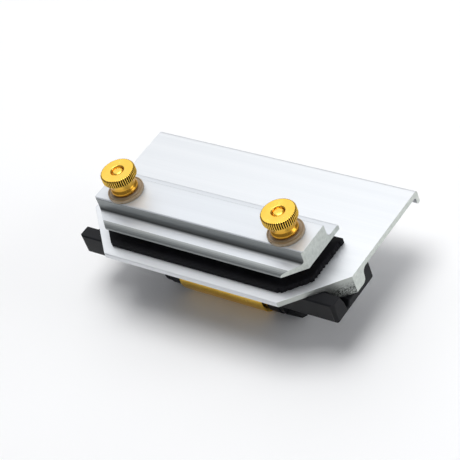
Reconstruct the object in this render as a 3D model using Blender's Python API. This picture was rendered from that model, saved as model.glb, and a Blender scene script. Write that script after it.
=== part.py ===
"""Wide-blade honing guide: a sheet-like aluminium bed with a rubber pad, a clamp bar pulled down by two
knurled brass nuts, and a moulded carrier under the bed that holds a brass roller on an eccentric axle.

Every size below is measured from one corner of the design: X runs along the bed from its middle, Y runs
back from the bed's front edge and Z runs up from the bed's top face. An empty called guide puts that corner
where the finished part needs it, so that the part stands on its roller with its middle over the origin.
"""
import math

import bmesh
import bpy
from mathutils import Vector

MM = 0.001
GAP = 0.3 * MM                     # left between pieces that touch

# bed: an extrusion with a half-round rib under it and a turned-down lip at the back
BED_WIDTH = 127 * MM
BED_DEPTH = 69 * MM
BED_THICKNESS = 2.45 * MM
BED_CORNER = 21 * MM               # front corners cut off at 45 degrees
BED_EDGE = 0.3 * MM
RIB_DEPTH = 8.5 * MM
RIB_FRONT = 13.1 * MM
RIB_BACK = 27.5 * MM
LIP_DEPTH = 6.2 * MM
LIP_THICKNESS = 1.9 * MM

# rubber pad on the bed
PAD_LENGTH = 102 * MM
PAD_FRONT = 4.5 * MM
PAD_BACK = 35.5 * MM
PAD_TOP = 2.4 * MM
PAD_CORNER = 9.5 * MM

# clamp bar, shown open by CLAMP_GAP above the pad
BAR_LENGTH = 102 * MM
BAR_FRONT = 6.2 * MM
BAR_BACK = 35.6 * MM
BAR_CORNER = 7.9 * MM
CLAMP_GAP = 4.9 * MM
BAR_BOTTOM = PAD_TOP + CLAMP_GAP
BAR_HEIGHT = 8.9 * MM
BAR_TOP = BAR_BOTTOM + BAR_HEIGHT

# studs, washers and knurled nuts; the studs are drawn at the core of their M5 thread
STUD_X = 39.2 * MM
STUD_Y = 20.4 * MM
THREAD_RADIUS = 2.5 * MM
STUD_RADIUS = 2.1 * MM
STUD_BOTTOM = -8.1 * MM
STUD_TOP = 27.4 * MM
HOLE_RADIUS = THREAD_RADIUS + GAP  # in the bar, washers and nuts, which slide or turn on the studs
WASHER_RADIUS = 7.35 * MM
WASHER_THICKNESS = 1.2 * MM
KNOB_RADIUS = 7.1 * MM
KNOB_NECK = 4.7 * MM
KNOB_COLLAR = 5.6 * MM
KNOB_HEIGHT = 9.6 * MM
KNOB_RIM = 3.6 * MM
KNOB_SIDES = 24

# moulded carrier, a channel that hugs the rib
CARRIER_LENGTH = 125 * MM
CARRIER_FRONT = 7 * MM
CARRIER_BACK = 32.7 * MM
CARRIER_BOTTOM = -12 * MM
CARRIER_EDGE = 1.0 * MM
NOTCH_BACK = 16.4 * MM             # behind this the channel follows the rib

# roller and the eccentric that lowers it for a micro-bevel
ROLLER_Y = 20 * MM
ROLLER_Z = -21.3 * MM
ROLLER_RADIUS = 8.25 * MM
ROLLER_LENGTH = 41.2 * MM
ROLLER_BORE = 4.2 * MM
CAM_THROW = 1.05 * MM              # the roller's axis stands this far above the cam's axis
CAM_Z = ROLLER_Z - CAM_THROW
CAM_JOURNAL = 4.3 * MM
CAM_FLANGE = 6.2 * MM
CAM_FLANGE_THICKNESS = 2.0 * MM
EAR_INNER = 22 * MM
EAR_OUTER = 27 * MM
EAR_RADIUS = 6.6 * MM
AXLE_RADIUS = 2.0 * MM
AXLE_GROOVE = 1.6 * MM
CLIP_THICKNESS = 0.7 * MM
CLIP_INNER = 1.9 * MM
CLIP_OUTER = 3.6 * MM
CLIP_MOUTH = 35                    # half the clip's opening, in degrees
CAM_SPRING_SPACE = 0.95 * MM       # room for the dished washer beside the left ear
BUSH_FLANGE = 6.0 * MM
BUSH_FLANGE_THICKNESS = 0.8 * MM
BUSH_SLEEVE = 9 * MM
SPRING_WASHER_THICKNESS = 0.3 * MM
AXLE_OVERHANG = 0.9 * MM           # from each clip to the axle's end
TAB_END = 35.5 * MM
TAB_ANGLE = math.radians(242)      # the tab points down and forward at rest

# screws that hold the carrier to the rib
SCREW_X = (-54 * MM, -33 * MM, 33 * MM, 54 * MM)
SCREW_Y = 21.3 * MM
SCREW_RADIUS = 1.5 * MM
SCREW_HEAD_RADIUS = 2.7 * MM
SCREW_HEAD_HEIGHT = 1.7 * MM
SCREW_TIP = -3.6 * MM

ROUND_SIDES = 32
SMALL_SIDES = 20
OVERCUT = 2 * MM                   # how far a cutter runs past the face it opens
CAM_CENTRE = Vector((0, ROLLER_Y, CAM_Z))
ROLLER_CENTRE = Vector((0, ROLLER_Y, ROLLER_Z))


def clear_scene():
    for thing in list(bpy.data.objects):
        bpy.data.objects.remove(thing, do_unlink=True)


def make_material(name, colour, roughness, metallic):
    material = bpy.data.materials.new(name)
    material.use_nodes = True
    shader = material.node_tree.nodes["Principled BSDF"]
    shader.inputs["Base Color"].default_value = (*colour, 1.0)
    shader.inputs["Roughness"].default_value = roughness
    shader.inputs["Metallic"].default_value = metallic
    return material


def make_object(name, mesh_builder, material, parent, location=(0, 0, 0)):
    """Turn a finished bmesh into a named object under parent."""
    bmesh.ops.remove_doubles(mesh_builder, verts=mesh_builder.verts, dist=1e-7)
    bmesh.ops.recalc_face_normals(mesh_builder, faces=mesh_builder.faces)
    mesh = bpy.data.meshes.new(name)
    mesh_builder.to_mesh(mesh)
    mesh_builder.free()
    mesh.shade_smooth()
    mesh.set_sharp_from_angle(angle=math.radians(35))
    thing = bpy.data.objects.new(name, mesh)
    if material:
        mesh.materials.append(material)
    bpy.context.scene.collection.objects.link(thing)
    thing.parent = parent
    thing.location = location
    return thing


def copy_object(source, name, parent, location):
    """A second piece that shares its mesh and modifiers with the first."""
    thing = source.copy()
    thing.name = name
    bpy.context.scene.collection.objects.link(thing)
    thing.parent = parent
    thing.location = location
    return thing


def arc(centre, radius, start, end, steps):
    """Points of an arc in a (horizontal, vertical) plane, angles in degrees."""
    angles = [math.radians(start + (end - start) * i / steps) for i in range(steps + 1)]
    return [(centre[0] + radius * math.cos(a), centre[1] + radius * math.sin(a)) for a in angles]


def extrude(outline, place, distance):
    """Extrude a closed outline. place turns an outline point into its first Vector; distance is a Vector."""
    builder = bmesh.new()
    face = builder.faces.new([builder.verts.new(place(a, b)) for a, b in outline])
    moved = bmesh.ops.extrude_face_region(builder, geom=[face])
    corners = [item for item in moved["geom"] if isinstance(item, bmesh.types.BMVert)]
    bmesh.ops.translate(builder, verts=corners, vec=distance)
    return builder


def bar_along_x(outline, start, end):
    return extrude(outline, lambda y, z: (start, y, z), Vector((end - start, 0, 0)))


def slab_along_z(outline, bottom, top):
    return extrude(outline, lambda x, y: (x, y, bottom), Vector((0, 0, top - bottom)))


def turned(profile, sides, along_x=False, hollow=False):
    """Spin (radius, height) points round Z or X. A hollow profile is a closed loop that stays off the axis."""
    builder = bmesh.new()
    axis = (1, 0, 0) if along_x else (0, 0, 1)
    points = [(height, 0, radius) if along_x else (radius, 0, height) for radius, height in profile]
    ring = [builder.verts.new(point) for point in points]
    pairs = list(zip(ring, ring[1:])) + ([(ring[-1], ring[0])] if hollow else [])
    edges = [builder.edges.new(pair) for pair in pairs]
    bmesh.ops.spin(
        builder, geom=ring + edges, cent=(0, 0, 0), axis=axis, angle=math.tau, steps=sides, use_merge=True
    )
    return builder


def trim_corner(builder, point, outward):
    """Cut away what lies beyond a plane, and close the cut."""
    geometry = builder.verts[:] + builder.edges[:] + builder.faces[:]
    result = bmesh.ops.bisect_plane(
        builder, geom=geometry, dist=1e-7, plane_co=point, plane_no=outward, clear_outer=True
    )
    rim = [item for item in result["geom_cut"] if isinstance(item, bmesh.types.BMEdge)]
    bmesh.ops.edgeloop_fill(builder, edges=rim)


def trim_front_corners(builder, half_length, front, corner):
    """Cut both front corners off at 45 degrees, corner being the length taken off each edge."""
    for side in (-1, 1):
        point = Vector((side * (half_length - corner), front, 0))
        trim_corner(builder, point, Vector((side, -1, 0)).normalized())


def cut(target, cutter):
    """Subtract cutter from target, and keep the cutter as a hidden guide."""
    cutter.hide_render = True
    cutter.display_type = "WIRE"
    modifier = target.modifiers.new("cut_" + cutter.name, "BOOLEAN")
    modifier.operation = "DIFFERENCE"
    modifier.solver = "EXACT"
    modifier.object = cutter


def join(target, other):
    """Add other to target, and keep the added block as a hidden guide."""
    other.hide_render = True
    other.display_type = "WIRE"
    modifier = target.modifiers.new("join_" + other.name, "BOOLEAN")
    modifier.operation = "UNION"
    modifier.solver = "EXACT"
    modifier.object = other


def pin_profile(radius, bottom, top):
    return [(0, bottom), (radius, bottom), (radius, top), (0, top)]


def ring_profile(inner, outer, bottom, top):
    return [(inner, bottom), (outer, bottom), (outer, top), (inner, top)]


def hole_cutter(name, parent, radius, x, y, bottom, top, sides=SMALL_SIDES):
    builder = turned(pin_profile(radius, bottom, top), sides)
    return make_object(name, builder, None, parent, (x, y, 0))


def rib_outline(offset):
    """Front foot to back foot of the rib, grown outward by offset."""
    low = -RIB_DEPTH - offset
    front_round = arc((17.9 * MM, -5.5 * MM), 3.0 * MM + offset, 207, 270, 5)
    back_round = arc((25.1 * MM, -6.3 * MM), 2.2 * MM + offset, 270, 355, 5)
    fillet_centre = (RIB_BACK + 2.3 * MM, -BED_THICKNESS - 2.3 * MM)
    back_fillet = arc(fillet_centre, 2.3 * MM - offset, 175, 90, 5)
    return [(RIB_FRONT - offset, -BED_THICKNESS)] + front_round + [(21 * MM, low)] + back_round + back_fillet


def bed_outline():
    """Side view of the bed, anticlockwise from the bottom of the nose."""
    back = BED_DEPTH
    inner = back - LIP_THICKNESS
    nose = [(BED_EDGE, -BED_THICKNESS)]
    root = arc((inner - 1.2 * MM, -BED_THICKNESS - 1.2 * MM), 1.2 * MM, 90, 0, 3)
    tip = arc((back - LIP_THICKNESS / 2, -LIP_DEPTH + LIP_THICKNESS / 2), LIP_THICKNESS / 2, 180, 360, 6)
    crown = arc((back - 1.6 * MM, -1.6 * MM), 1.6 * MM, 0, 90, 4)
    front = [(BED_EDGE, 0), (0, -BED_EDGE), (0, -BED_THICKNESS + BED_EDGE)]
    return nose + rib_outline(0) + root + tip + crown + front


def bar_outline():
    """Side view of the clamp bar, anticlockwise from its lower front tip."""
    low, top = BAR_BOTTOM, BAR_TOP
    wall = BAR_FRONT + 7.1 * MM
    nose = [(BAR_FRONT, low), (BAR_FRONT, low + 1.1 * MM)]
    bevel = [(BAR_FRONT + 1.0 * MM, low + 1.8 * MM), (BAR_FRONT + 2.4 * MM, low + 2.3 * MM)]
    groove = arc((wall - 1.9 * MM, low + 4.5 * MM), 1.9 * MM, 270, 360, 4)
    front_crown = arc((wall + 0.9 * MM, top - 0.9 * MM), 0.9 * MM, 180, 90, 3)
    heel_wall = BAR_BACK - 7.2 * MM
    back_crown = arc((heel_wall - 0.5 * MM, top - 0.5 * MM), 0.5 * MM, 90, 0, 2)
    heel = arc((heel_wall + 1.9 * MM, low + 4.4 * MM), 1.9 * MM, 180, 265, 4)
    lip = [(BAR_BACK - 0.3 * MM, low + 1.9 * MM), (BAR_BACK, low + 1.6 * MM), (BAR_BACK, low)]
    outline = nose + bevel + groove + front_crown + back_crown + heel + lip
    return outline[::-1]


def carrier_outline():
    """Side view of the channel, anticlockwise from its front bottom edge."""
    under_bed = -BED_THICKNESS - GAP
    edge = CARRIER_EDGE
    front_bottom = arc((CARRIER_FRONT + edge, CARRIER_BOTTOM + edge), edge, 180, 270, 3)
    back_bottom = arc((CARRIER_BACK - edge, CARRIER_BOTTOM + edge), edge, 270, 360, 3)
    back_top = [(CARRIER_BACK, under_bed), (RIB_BACK + 2.6 * MM, under_bed)]
    notch = [(15.0 * MM, -10.7 * MM), (14.1 * MM, -10.7 * MM), (13.9 * MM, -7.3 * MM), (12.3 * MM, under_bed)]
    front_top = [(CARRIER_FRONT + 0.5 * MM, under_bed), (CARRIER_FRONT, under_bed - 0.5 * MM)]
    # the notch clears the rib's front flank, so only the rib's floor and back are followed
    followed = [p for p in rib_outline(GAP) if p[0] > NOTCH_BACK and p[1] < under_bed - 0.4 * MM]
    return front_bottom + back_bottom + back_top + followed[::-1] + notch + front_top


def ear_outline():
    """Round lug that hangs from the channel's floor and holds one end of the eccentric."""
    lobe = arc((ROLLER_Y, CAM_Z), EAR_RADIUS, 195, 345, 14)
    root = CARRIER_BOTTOM + 1.5 * MM
    shoulder = EAR_RADIUS + 1.6 * MM
    return lobe + [(ROLLER_Y + shoulder, root), (ROLLER_Y - shoulder, root)]


def build_bed(parent, metal):
    builder = bar_along_x(bed_outline(), -BED_WIDTH / 2, BED_WIDTH / 2)
    trim_front_corners(builder, BED_WIDTH / 2, 0, BED_CORNER)
    bed = make_object("bed", builder, metal, parent)
    for name, side in (("left", -1), ("right", 1)):
        deep = (-RIB_DEPTH - OVERCUT, OVERCUT)
        cut(bed, hole_cutter("bed_stud_hole_" + name, parent, STUD_RADIUS + GAP, side * STUD_X, STUD_Y, *deep))
    for number, x in enumerate(SCREW_X, 1):
        deep = (-RIB_DEPTH - OVERCUT, SCREW_TIP + GAP)
        name = "bed_screw_hole_%d" % number
        cut(bed, hole_cutter(name, parent, SCREW_RADIUS + GAP, x, SCREW_Y, *deep, sides=12))


def build_pad(parent, rubber):
    half = PAD_LENGTH / 2
    outline = [
        (half, PAD_BACK),
        (-half, PAD_BACK),
        (-half, PAD_FRONT + PAD_CORNER),
        (-half + PAD_CORNER, PAD_FRONT),
        (half - PAD_CORNER, PAD_FRONT),
        (half, PAD_FRONT + PAD_CORNER),
    ]
    pad = make_object("bed_pad", slab_along_z(outline, GAP, PAD_TOP), rubber, parent)
    for name, side in (("left", -1), ("right", 1)):
        deep = (-OVERCUT, PAD_TOP + OVERCUT)
        cut(pad, hole_cutter("pad_stud_hole_" + name, parent, STUD_RADIUS + GAP, side * STUD_X, STUD_Y, *deep))


def build_clamp_bar(parent, metal):
    builder = bar_along_x(bar_outline(), -BAR_LENGTH / 2, BAR_LENGTH / 2)
    trim_front_corners(builder, BAR_LENGTH / 2, BAR_FRONT, BAR_CORNER)
    bar = make_object("clamp_bar", builder, metal, parent)
    for name, side in (("left", -1), ("right", 1)):
        deep = (BAR_BOTTOM - OVERCUT, BAR_TOP + OVERCUT)
        cut(bar, hole_cutter("bar_stud_hole_" + name, parent, HOLE_RADIUS, side * STUD_X, STUD_Y, *deep))


def build_studs(parent, brass):
    """A threaded rod with a domed top, screwed into the rib."""
    profile = [
        (0, STUD_BOTTOM),
        (STUD_RADIUS - 0.3 * MM, STUD_BOTTOM),
        (STUD_RADIUS, STUD_BOTTOM + 0.3 * MM),
        (STUD_RADIUS, STUD_TOP - 0.7 * MM),
        (STUD_RADIUS * 0.6, STUD_TOP - 0.2 * MM),
        (0, STUD_TOP),
    ]
    left = make_object("stud_left", turned(profile, SMALL_SIDES), brass, parent, (-STUD_X, STUD_Y, 0))
    copy_object(left, "stud_right", parent, (STUD_X, STUD_Y, 0))


def build_washers(parent, nylon):
    profile = ring_profile(HOLE_RADIUS, WASHER_RADIUS, 0, WASHER_THICKNESS)
    height = BAR_TOP + GAP
    builder = turned(profile, ROUND_SIDES, hollow=True)
    left = make_object("washer_left", builder, nylon, parent, (-STUD_X, STUD_Y, height))
    copy_object(left, "washer_right", parent, (STUD_X, STUD_Y, height))


def build_knobs(parent, brass):
    """Turned nut: a rounded collar, a waist and a deep rim."""
    rim_bottom = KNOB_HEIGHT - KNOB_RIM
    profile = [
        (HOLE_RADIUS, 0),
        (KNOB_COLLAR - 0.5 * MM, 0),
        (KNOB_COLLAR, 1.0 * MM),
        (KNOB_COLLAR, 1.6 * MM),
        (KNOB_NECK, 2.6 * MM),
        (KNOB_NECK, rim_bottom - 0.8 * MM),
        (KNOB_RADIUS - 0.3 * MM, rim_bottom),
        (KNOB_RADIUS, rim_bottom + 0.3 * MM),
        (KNOB_RADIUS, KNOB_HEIGHT - 0.3 * MM),
        (KNOB_RADIUS - 0.3 * MM, KNOB_HEIGHT),
        (HOLE_RADIUS + 0.2 * MM, KNOB_HEIGHT),
        (HOLE_RADIUS, KNOB_HEIGHT - 0.2 * MM),
    ]
    height = BAR_TOP + WASHER_THICKNESS + 2 * GAP
    builder = turned(profile, KNOB_SIDES, hollow=True)
    left = make_object("knob_left", builder, brass, parent, (-STUD_X, STUD_Y, height))
    copy_object(left, "knob_right", parent, (STUD_X, STUD_Y, height))


def build_carrier(parent, plastic):
    half = CARRIER_LENGTH / 2
    carrier = make_object("roller_carrier", bar_along_x(carrier_outline(), -half, half), plastic, parent)
    for name, start, end in (("left", -EAR_OUTER, -EAR_INNER), ("right", EAR_INNER, EAR_OUTER)):
        join(carrier, make_object("ear_" + name, bar_along_x(ear_outline(), start, end), None, parent))
        bore = turned(
            pin_profile(CAM_JOURNAL + GAP, start - OVERCUT, end + OVERCUT), ROUND_SIDES, along_x=True
        )
        cut(carrier, make_object("ear_bore_" + name, bore, None, parent, CAM_CENTRE))
    for number, x in enumerate(SCREW_X, 1):
        through = (CARRIER_BOTTOM - OVERCUT, -RIB_DEPTH + OVERCUT)
        name = "carrier_screw_hole_%d" % number
        cut(carrier, hole_cutter(name, parent, SCREW_RADIUS + GAP, x, SCREW_Y, *through, sides=12))
        seat = (CARRIER_BOTTOM - OVERCUT, CARRIER_BOTTOM + SCREW_HEAD_HEIGHT + GAP)
        name = "carrier_screw_seat_%d" % number
        cut(carrier, hole_cutter(name, parent, SCREW_HEAD_RADIUS + GAP, x, SCREW_Y, *seat, sides=16))


def build_screws(parent, steel):
    """Cheese-head screws, put in from below, each with its head sunk in the carrier's floor."""
    profile = [
        (0, CARRIER_BOTTOM),
        (SCREW_HEAD_RADIUS, CARRIER_BOTTOM),
        (SCREW_HEAD_RADIUS, CARRIER_BOTTOM + SCREW_HEAD_HEIGHT),
        (SCREW_RADIUS, CARRIER_BOTTOM + SCREW_HEAD_HEIGHT),
        (SCREW_RADIUS, SCREW_TIP - 0.4 * MM),
        (SCREW_RADIUS - 0.4 * MM, SCREW_TIP),
        (0, SCREW_TIP),
    ]
    first = make_object("carrier_screw_1", turned(profile, 16), steel, parent, (SCREW_X[0], SCREW_Y, 0))
    for number, x in enumerate(SCREW_X[1:], 2):
        copy_object(first, "carrier_screw_%d" % number, parent, (x, SCREW_Y, 0))


def build_roller(parent, brass):
    half, edge = ROLLER_LENGTH / 2, 0.4 * MM
    profile = [
        (ROLLER_BORE, -half),
        (ROLLER_RADIUS - edge, -half),
        (ROLLER_RADIUS, -half + edge),
        (ROLLER_RADIUS, half - edge),
        (ROLLER_RADIUS - edge, half),
        (ROLLER_BORE, half),
    ]
    builder = turned(profile, 40, along_x=True, hollow=True)
    make_object("roller", builder, brass, parent, ROLLER_CENTRE)


def build_bushes(parent, nylon):
    """Flanged bushes pushed into the ends of the roller; each flange spaces the roller from its ear."""
    face = ROLLER_LENGTH / 2 + GAP
    for name, side in (("left", -1), ("right", 1)):
        inner, outer = AXLE_RADIUS + GAP, ROLLER_BORE - GAP
        profile = [
            (inner, side * (face - BUSH_SLEEVE)),
            (outer, side * (face - BUSH_SLEEVE)),
            (outer, side * face),
            (BUSH_FLANGE, side * face),
            (BUSH_FLANGE, side * (face + BUSH_FLANGE_THICKNESS)),
            (inner, side * (face + BUSH_FLANGE_THICKNESS)),
        ]
        builder = turned(profile, SMALL_SIDES, along_x=True, hollow=True)
        make_object("roller_bush_" + name, builder, nylon, parent, ROLLER_CENTRE)


def cam_face(side):
    """Where the outer face of the left (-1) or right (1) cam stands."""
    spring = CAM_SPRING_SPACE if side < 0 else 0
    return side * (EAR_OUTER + GAP + spring + CAM_FLANGE_THICKNESS)


def build_cams(parent, plastic, steel):
    """Two eccentrics that turn in the ears and carry the axle off centre; the right one has a thumb tab."""
    for name, side in (("cam_left", -1), ("cam_dial", 1)):
        outer_face = cam_face(side)
        flange_start = outer_face - side * CAM_FLANGE_THICKNESS
        inner_face = side * (EAR_INNER + GAP)
        profile = [
            (0, inner_face),
            (CAM_JOURNAL, inner_face),
            (CAM_JOURNAL, flange_start),
            (CAM_FLANGE, flange_start),
            (CAM_FLANGE, outer_face),
            (0, outer_face),
        ]
        cam = make_object(name, turned(profile, ROUND_SIDES, along_x=True), plastic, parent, CAM_CENTRE)
        if side > 0:
            join(cam, make_object("thumb_tab", thumb_tab(outer_face), None, parent, CAM_CENTRE))
        near, far = sorted((inner_face - side * OVERCUT, outer_face + side * OVERCUT))
        hole = turned(pin_profile(AXLE_RADIUS + GAP, near, far), SMALL_SIDES, along_x=True)
        cut(cam, make_object("axle_hole_" + name, hole, None, parent, ROLLER_CENTRE))
    build_spring_washer(parent, steel)


def thumb_tab(dial_face):
    """Wedge that stands out of the dial's face at its rim, tapering to its end."""
    builder = bmesh.new()
    along = Vector((0, math.cos(TAB_ANGLE), math.sin(TAB_ANGLE)))
    across = Vector((0, -along.z, along.y))
    rings = []
    for x, inner, outer, half_width in (
        (dial_face - 1 * MM, 3.4 * MM, 6.0 * MM, 2.6 * MM),
        (TAB_END, 5.5 * MM, 6.1 * MM, 1.7 * MM),
    ):
        corners = ((inner, -half_width), (outer, -half_width), (outer, half_width), (inner, half_width))
        rings.append([builder.verts.new(Vector((x, 0, 0)) + along * r + across * w) for r, w in corners])
    builder.faces.new(rings[0])
    builder.faces.new(rings[1])
    for i in range(4):
        j = (i + 1) % 4
        builder.faces.new((rings[0][i], rings[0][j], rings[1][j], rings[1][i]))
    return builder


def build_spring_washer(parent, steel):
    """Dished washer between the left ear and its cam flange; its push holds the cam where it is set."""
    inner, outer = CAM_JOURNAL + GAP, CAM_FLANGE - 0.2 * MM
    dish = CAM_SPRING_SPACE - GAP - SPRING_WASHER_THICKNESS
    near = -(EAR_OUTER + GAP)
    profile = [
        (inner, near - dish),
        (outer, near),
        (outer, near - SPRING_WASHER_THICKNESS),
        (inner, near - dish - SPRING_WASHER_THICKNESS),
    ]
    make_object("cam_spring_washer", turned(profile, ROUND_SIDES, True, True), steel, parent, CAM_CENTRE)


def clip_outline():
    """C-shaped retaining ring, open towards the front."""
    outer = arc((0, 0), CLIP_OUTER, 180 - CLIP_MOUTH, CLIP_MOUTH - 180, 16)
    inner = arc((0, 0), CLIP_INNER, CLIP_MOUTH - 180, 180 - CLIP_MOUTH, 12)
    return outer + inner


def build_axle(parent, steel):
    """A plain pin with a groove near each end, held by a clip outside each cam."""
    edge = 0.3 * MM
    seats = (cam_face(-1) - GAP - CLIP_THICKNESS, cam_face(1) + GAP)
    ends = (seats[0] - AXLE_OVERHANG, seats[1] + CLIP_THICKNESS + AXLE_OVERHANG)
    left_groove = (seats[0] - GAP, seats[0] + CLIP_THICKNESS + GAP)
    right_groove = (seats[1] - GAP, seats[1] + CLIP_THICKNESS + GAP)
    profile = [(0, ends[0]), (AXLE_RADIUS - edge, ends[0]), (AXLE_RADIUS, ends[0] + edge)]
    for start, end in (left_groove, right_groove):
        profile += [(AXLE_RADIUS, start), (AXLE_GROOVE, start), (AXLE_GROOVE, end), (AXLE_RADIUS, end)]
    profile += [(AXLE_RADIUS, ends[1] - edge), (AXLE_RADIUS - edge, ends[1]), (0, ends[1])]
    make_object("roller_axle", turned(profile, SMALL_SIDES, along_x=True), steel, parent, ROLLER_CENTRE)
    for name, seat in zip(("left", "right"), seats):
        clip = bar_along_x(clip_outline(), seat, seat + CLIP_THICKNESS)
        make_object("axle_clip_" + name, clip, steel, parent, ROLLER_CENTRE)


def build_guide():
    clear_scene()
    guide = bpy.data.objects.new("guide", None)
    bpy.context.scene.collection.objects.link(guide)
    guide.location = (0, -BED_DEPTH / 2, ROLLER_RADIUS - ROLLER_Z)

    aluminium = make_material("aluminium", (0.80, 0.81, 0.82), 0.32, 1.0)
    brass = make_material("brass", (0.89, 0.62, 0.20), 0.22, 1.0)
    steel = make_material("steel", (0.62, 0.62, 0.63), 0.3, 1.0)
    rubber = make_material("rubber", (0.022, 0.022, 0.025), 0.75, 0.0)
    plastic = make_material("black_plastic", (0.035, 0.037, 0.042), 0.5, 0.0)
    nylon = make_material("nylon", (0.66, 0.60, 0.52), 0.35, 0.0)

    build_bed(guide, aluminium)
    build_pad(guide, rubber)
    build_clamp_bar(guide, aluminium)
    build_studs(guide, brass)
    build_washers(guide, nylon)
    build_knobs(guide, brass)
    build_carrier(guide, plastic)
    build_screws(guide, steel)
    build_roller(guide, brass)
    build_bushes(guide, nylon)
    build_cams(guide, plastic, steel)
    build_axle(guide, steel)


build_guide()
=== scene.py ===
"""Looks of the honing guide: every CAD node is replaced by a finely modelled piece with its own procedural
material, on a plain pale floor, seen from the front right and above.

The pieces are measured from the middle of the bed's front edge, on its top face: X runs along the bed,
Y back from its front edge, Z up. Sizes are in millimetres until MM turns them into metres.
"""

import math

import bmesh
import bpy
from mathutils import Matrix, Vector, noise


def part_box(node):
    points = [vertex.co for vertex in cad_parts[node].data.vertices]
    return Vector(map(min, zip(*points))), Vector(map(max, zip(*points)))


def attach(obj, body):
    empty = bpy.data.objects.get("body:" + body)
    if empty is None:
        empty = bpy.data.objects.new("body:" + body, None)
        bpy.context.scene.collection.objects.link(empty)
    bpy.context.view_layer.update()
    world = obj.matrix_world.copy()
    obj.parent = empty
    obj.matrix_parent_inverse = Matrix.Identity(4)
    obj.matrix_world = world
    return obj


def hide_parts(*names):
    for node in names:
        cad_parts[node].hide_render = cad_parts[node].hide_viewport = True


MM = 0.001

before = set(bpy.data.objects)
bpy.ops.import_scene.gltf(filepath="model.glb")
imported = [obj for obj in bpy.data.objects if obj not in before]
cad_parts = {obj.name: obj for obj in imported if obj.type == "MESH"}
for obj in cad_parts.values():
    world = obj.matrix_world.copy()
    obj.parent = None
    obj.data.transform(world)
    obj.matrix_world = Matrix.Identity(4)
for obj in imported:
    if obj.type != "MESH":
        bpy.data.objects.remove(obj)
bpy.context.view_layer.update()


def cad_size(node):
    """Lowest and highest corner of a CAD node in millimetres, measured from the bed's front edge."""
    low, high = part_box(node)
    return (low - ORIGIN) / MM, (high - ORIGIN) / MM


bed_low, bed_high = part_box("bed")
ORIGIN = Vector((0, bed_low.y, bed_high.z))

BED_LOW, BED_HIGH = cad_size("bed")
PAD_LOW, PAD_HIGH = cad_size("bed_pad")
BAR_LOW, BAR_HIGH = cad_size("clamp_bar")
KNOB_LOW, KNOB_HIGH = cad_size("knob_right")
STUD_LOW, STUD_HIGH = cad_size("stud_right")
WASHER_LOW, WASHER_HIGH = cad_size("washer_right")
CARRIER_LOW, CARRIER_HIGH = cad_size("roller_carrier")
ROLLER_LOW, ROLLER_HIGH = cad_size("roller")
SCREW_LOW, SCREW_HIGH = cad_size("carrier_screw_4")

STUD_X = (STUD_LOW.x + STUD_HIGH.x) / 2
STUD_Y = (STUD_LOW.y + STUD_HIGH.y) / 2
STUD_RADIUS = 2.5                 # outside of the thread
STUD_CORE = (STUD_HIGH.x - STUD_LOW.x) / 2
KNOB_RADIUS = (KNOB_HIGH.x - KNOB_LOW.x) / 2
WASHER_RADIUS = (WASHER_HIGH.x - WASHER_LOW.x) / 2
ROLLER_Y = (ROLLER_LOW.y + ROLLER_HIGH.y) / 2
ROLLER_Z = (ROLLER_LOW.z + ROLLER_HIGH.z) / 2
ROLLER_RADIUS = (ROLLER_HIGH.z - ROLLER_LOW.z) / 2
ROLLER_HALF = (ROLLER_HIGH.x - ROLLER_LOW.x) / 2
CAM_THROW = 1.05
CAM_Z = ROLLER_Z - CAM_THROW

BED_THICKNESS = 2.45
BED_CORNER = 21
RIB_FRONT = 13.1
RIB_BACK = 27.5
LIP_DEPTH = 6.2
LIP_THICKNESS = 1.9
BAR_CORNER = 7.9
PAD_CORNER = 9.5
CARRIER_EDGE = 1.0
UPRIGHT_ROUNDING = 1.8            # of the carrier's two front upright edges
EAR_INNER = 22.0
EAR_OUTER = 27.0
EAR_RADIUS = 6.6
CAM_JOURNAL = 4.3
CAM_FLANGE = 6.2
CAM_FLANGE_THICKNESS = 2.0
CAM_SPRING_SPACE = 0.95
AXLE_RADIUS = 2.0
TAB_END = 35.5
TAB_ANGLE = math.radians(242)
TOUCH = 0.03                      # gap between pieces that touch
THREAD_PITCH = 0.8
KNURL_TEETH = 50
KNURL_DEPTH = 0.55
GROOVE_DEPTH = 7.4                # of the finger groove along the clamp bar's front
CORNER_FACE_AREA = 2e-6           # square metres: smaller slanting faces are the walls of holes
WASHER_THICKNESS = 1.3
CARRIER_FLOOR = -12.0
GROOVE_RADIUS = 1.9               # at the foot of the clamp bar's front and back walls
GROOVE_FLOOR = 2.6                # above the bar's underside
FRONT_WALL = 7.1                  # from the bar's front edge to the wall of its groove
HEEL = 7.2                        # depth of the ledge along the bar's back
HEEL_FLOOR = 2.5                  # above the bar's underside
WASHER_SEAT = 5.75                # radius that the nut presses on
WASHER_RIM = 0.45
WASHER_GROOVE = 0.3
NUT_COLLAR = 5.6
NUT_NECK = 4.7
NUT_RIM_HEIGHT = 3.6
PAD_STEP = 0.4                    # between points along the pad's cut edge
PAD_WAVER = 0.06                  # how far a clean cut wanders
PAD_TEAR = 0.75                   # how far the torn right end wanders
ROLLER_BORE = 4.2
BUSH_FLANGE = 6.0
CAM_GAP = 0.3                     # between an ear and the flange or spring beside it
SCREW_PLACES = [sum(cad_size("carrier_screw_%d" % n), Vector()).x / 2 for n in (1, 2, 3, 4)]
SCREW_Y = (SCREW_LOW.y + SCREW_HIGH.y) / 2


# ---------------------------------------------------------------- camera, light and floor

CAMERA_PLACE = Vector((430.4, -336.5, 477.8))
CAMERA_AIM = Vector((1.9, 27.3, 0.0))          # the point of the bed's top that it looks at
CAMERA_ROLL = math.radians(-22.46)
CAMERA_LENS = 148.27


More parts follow.
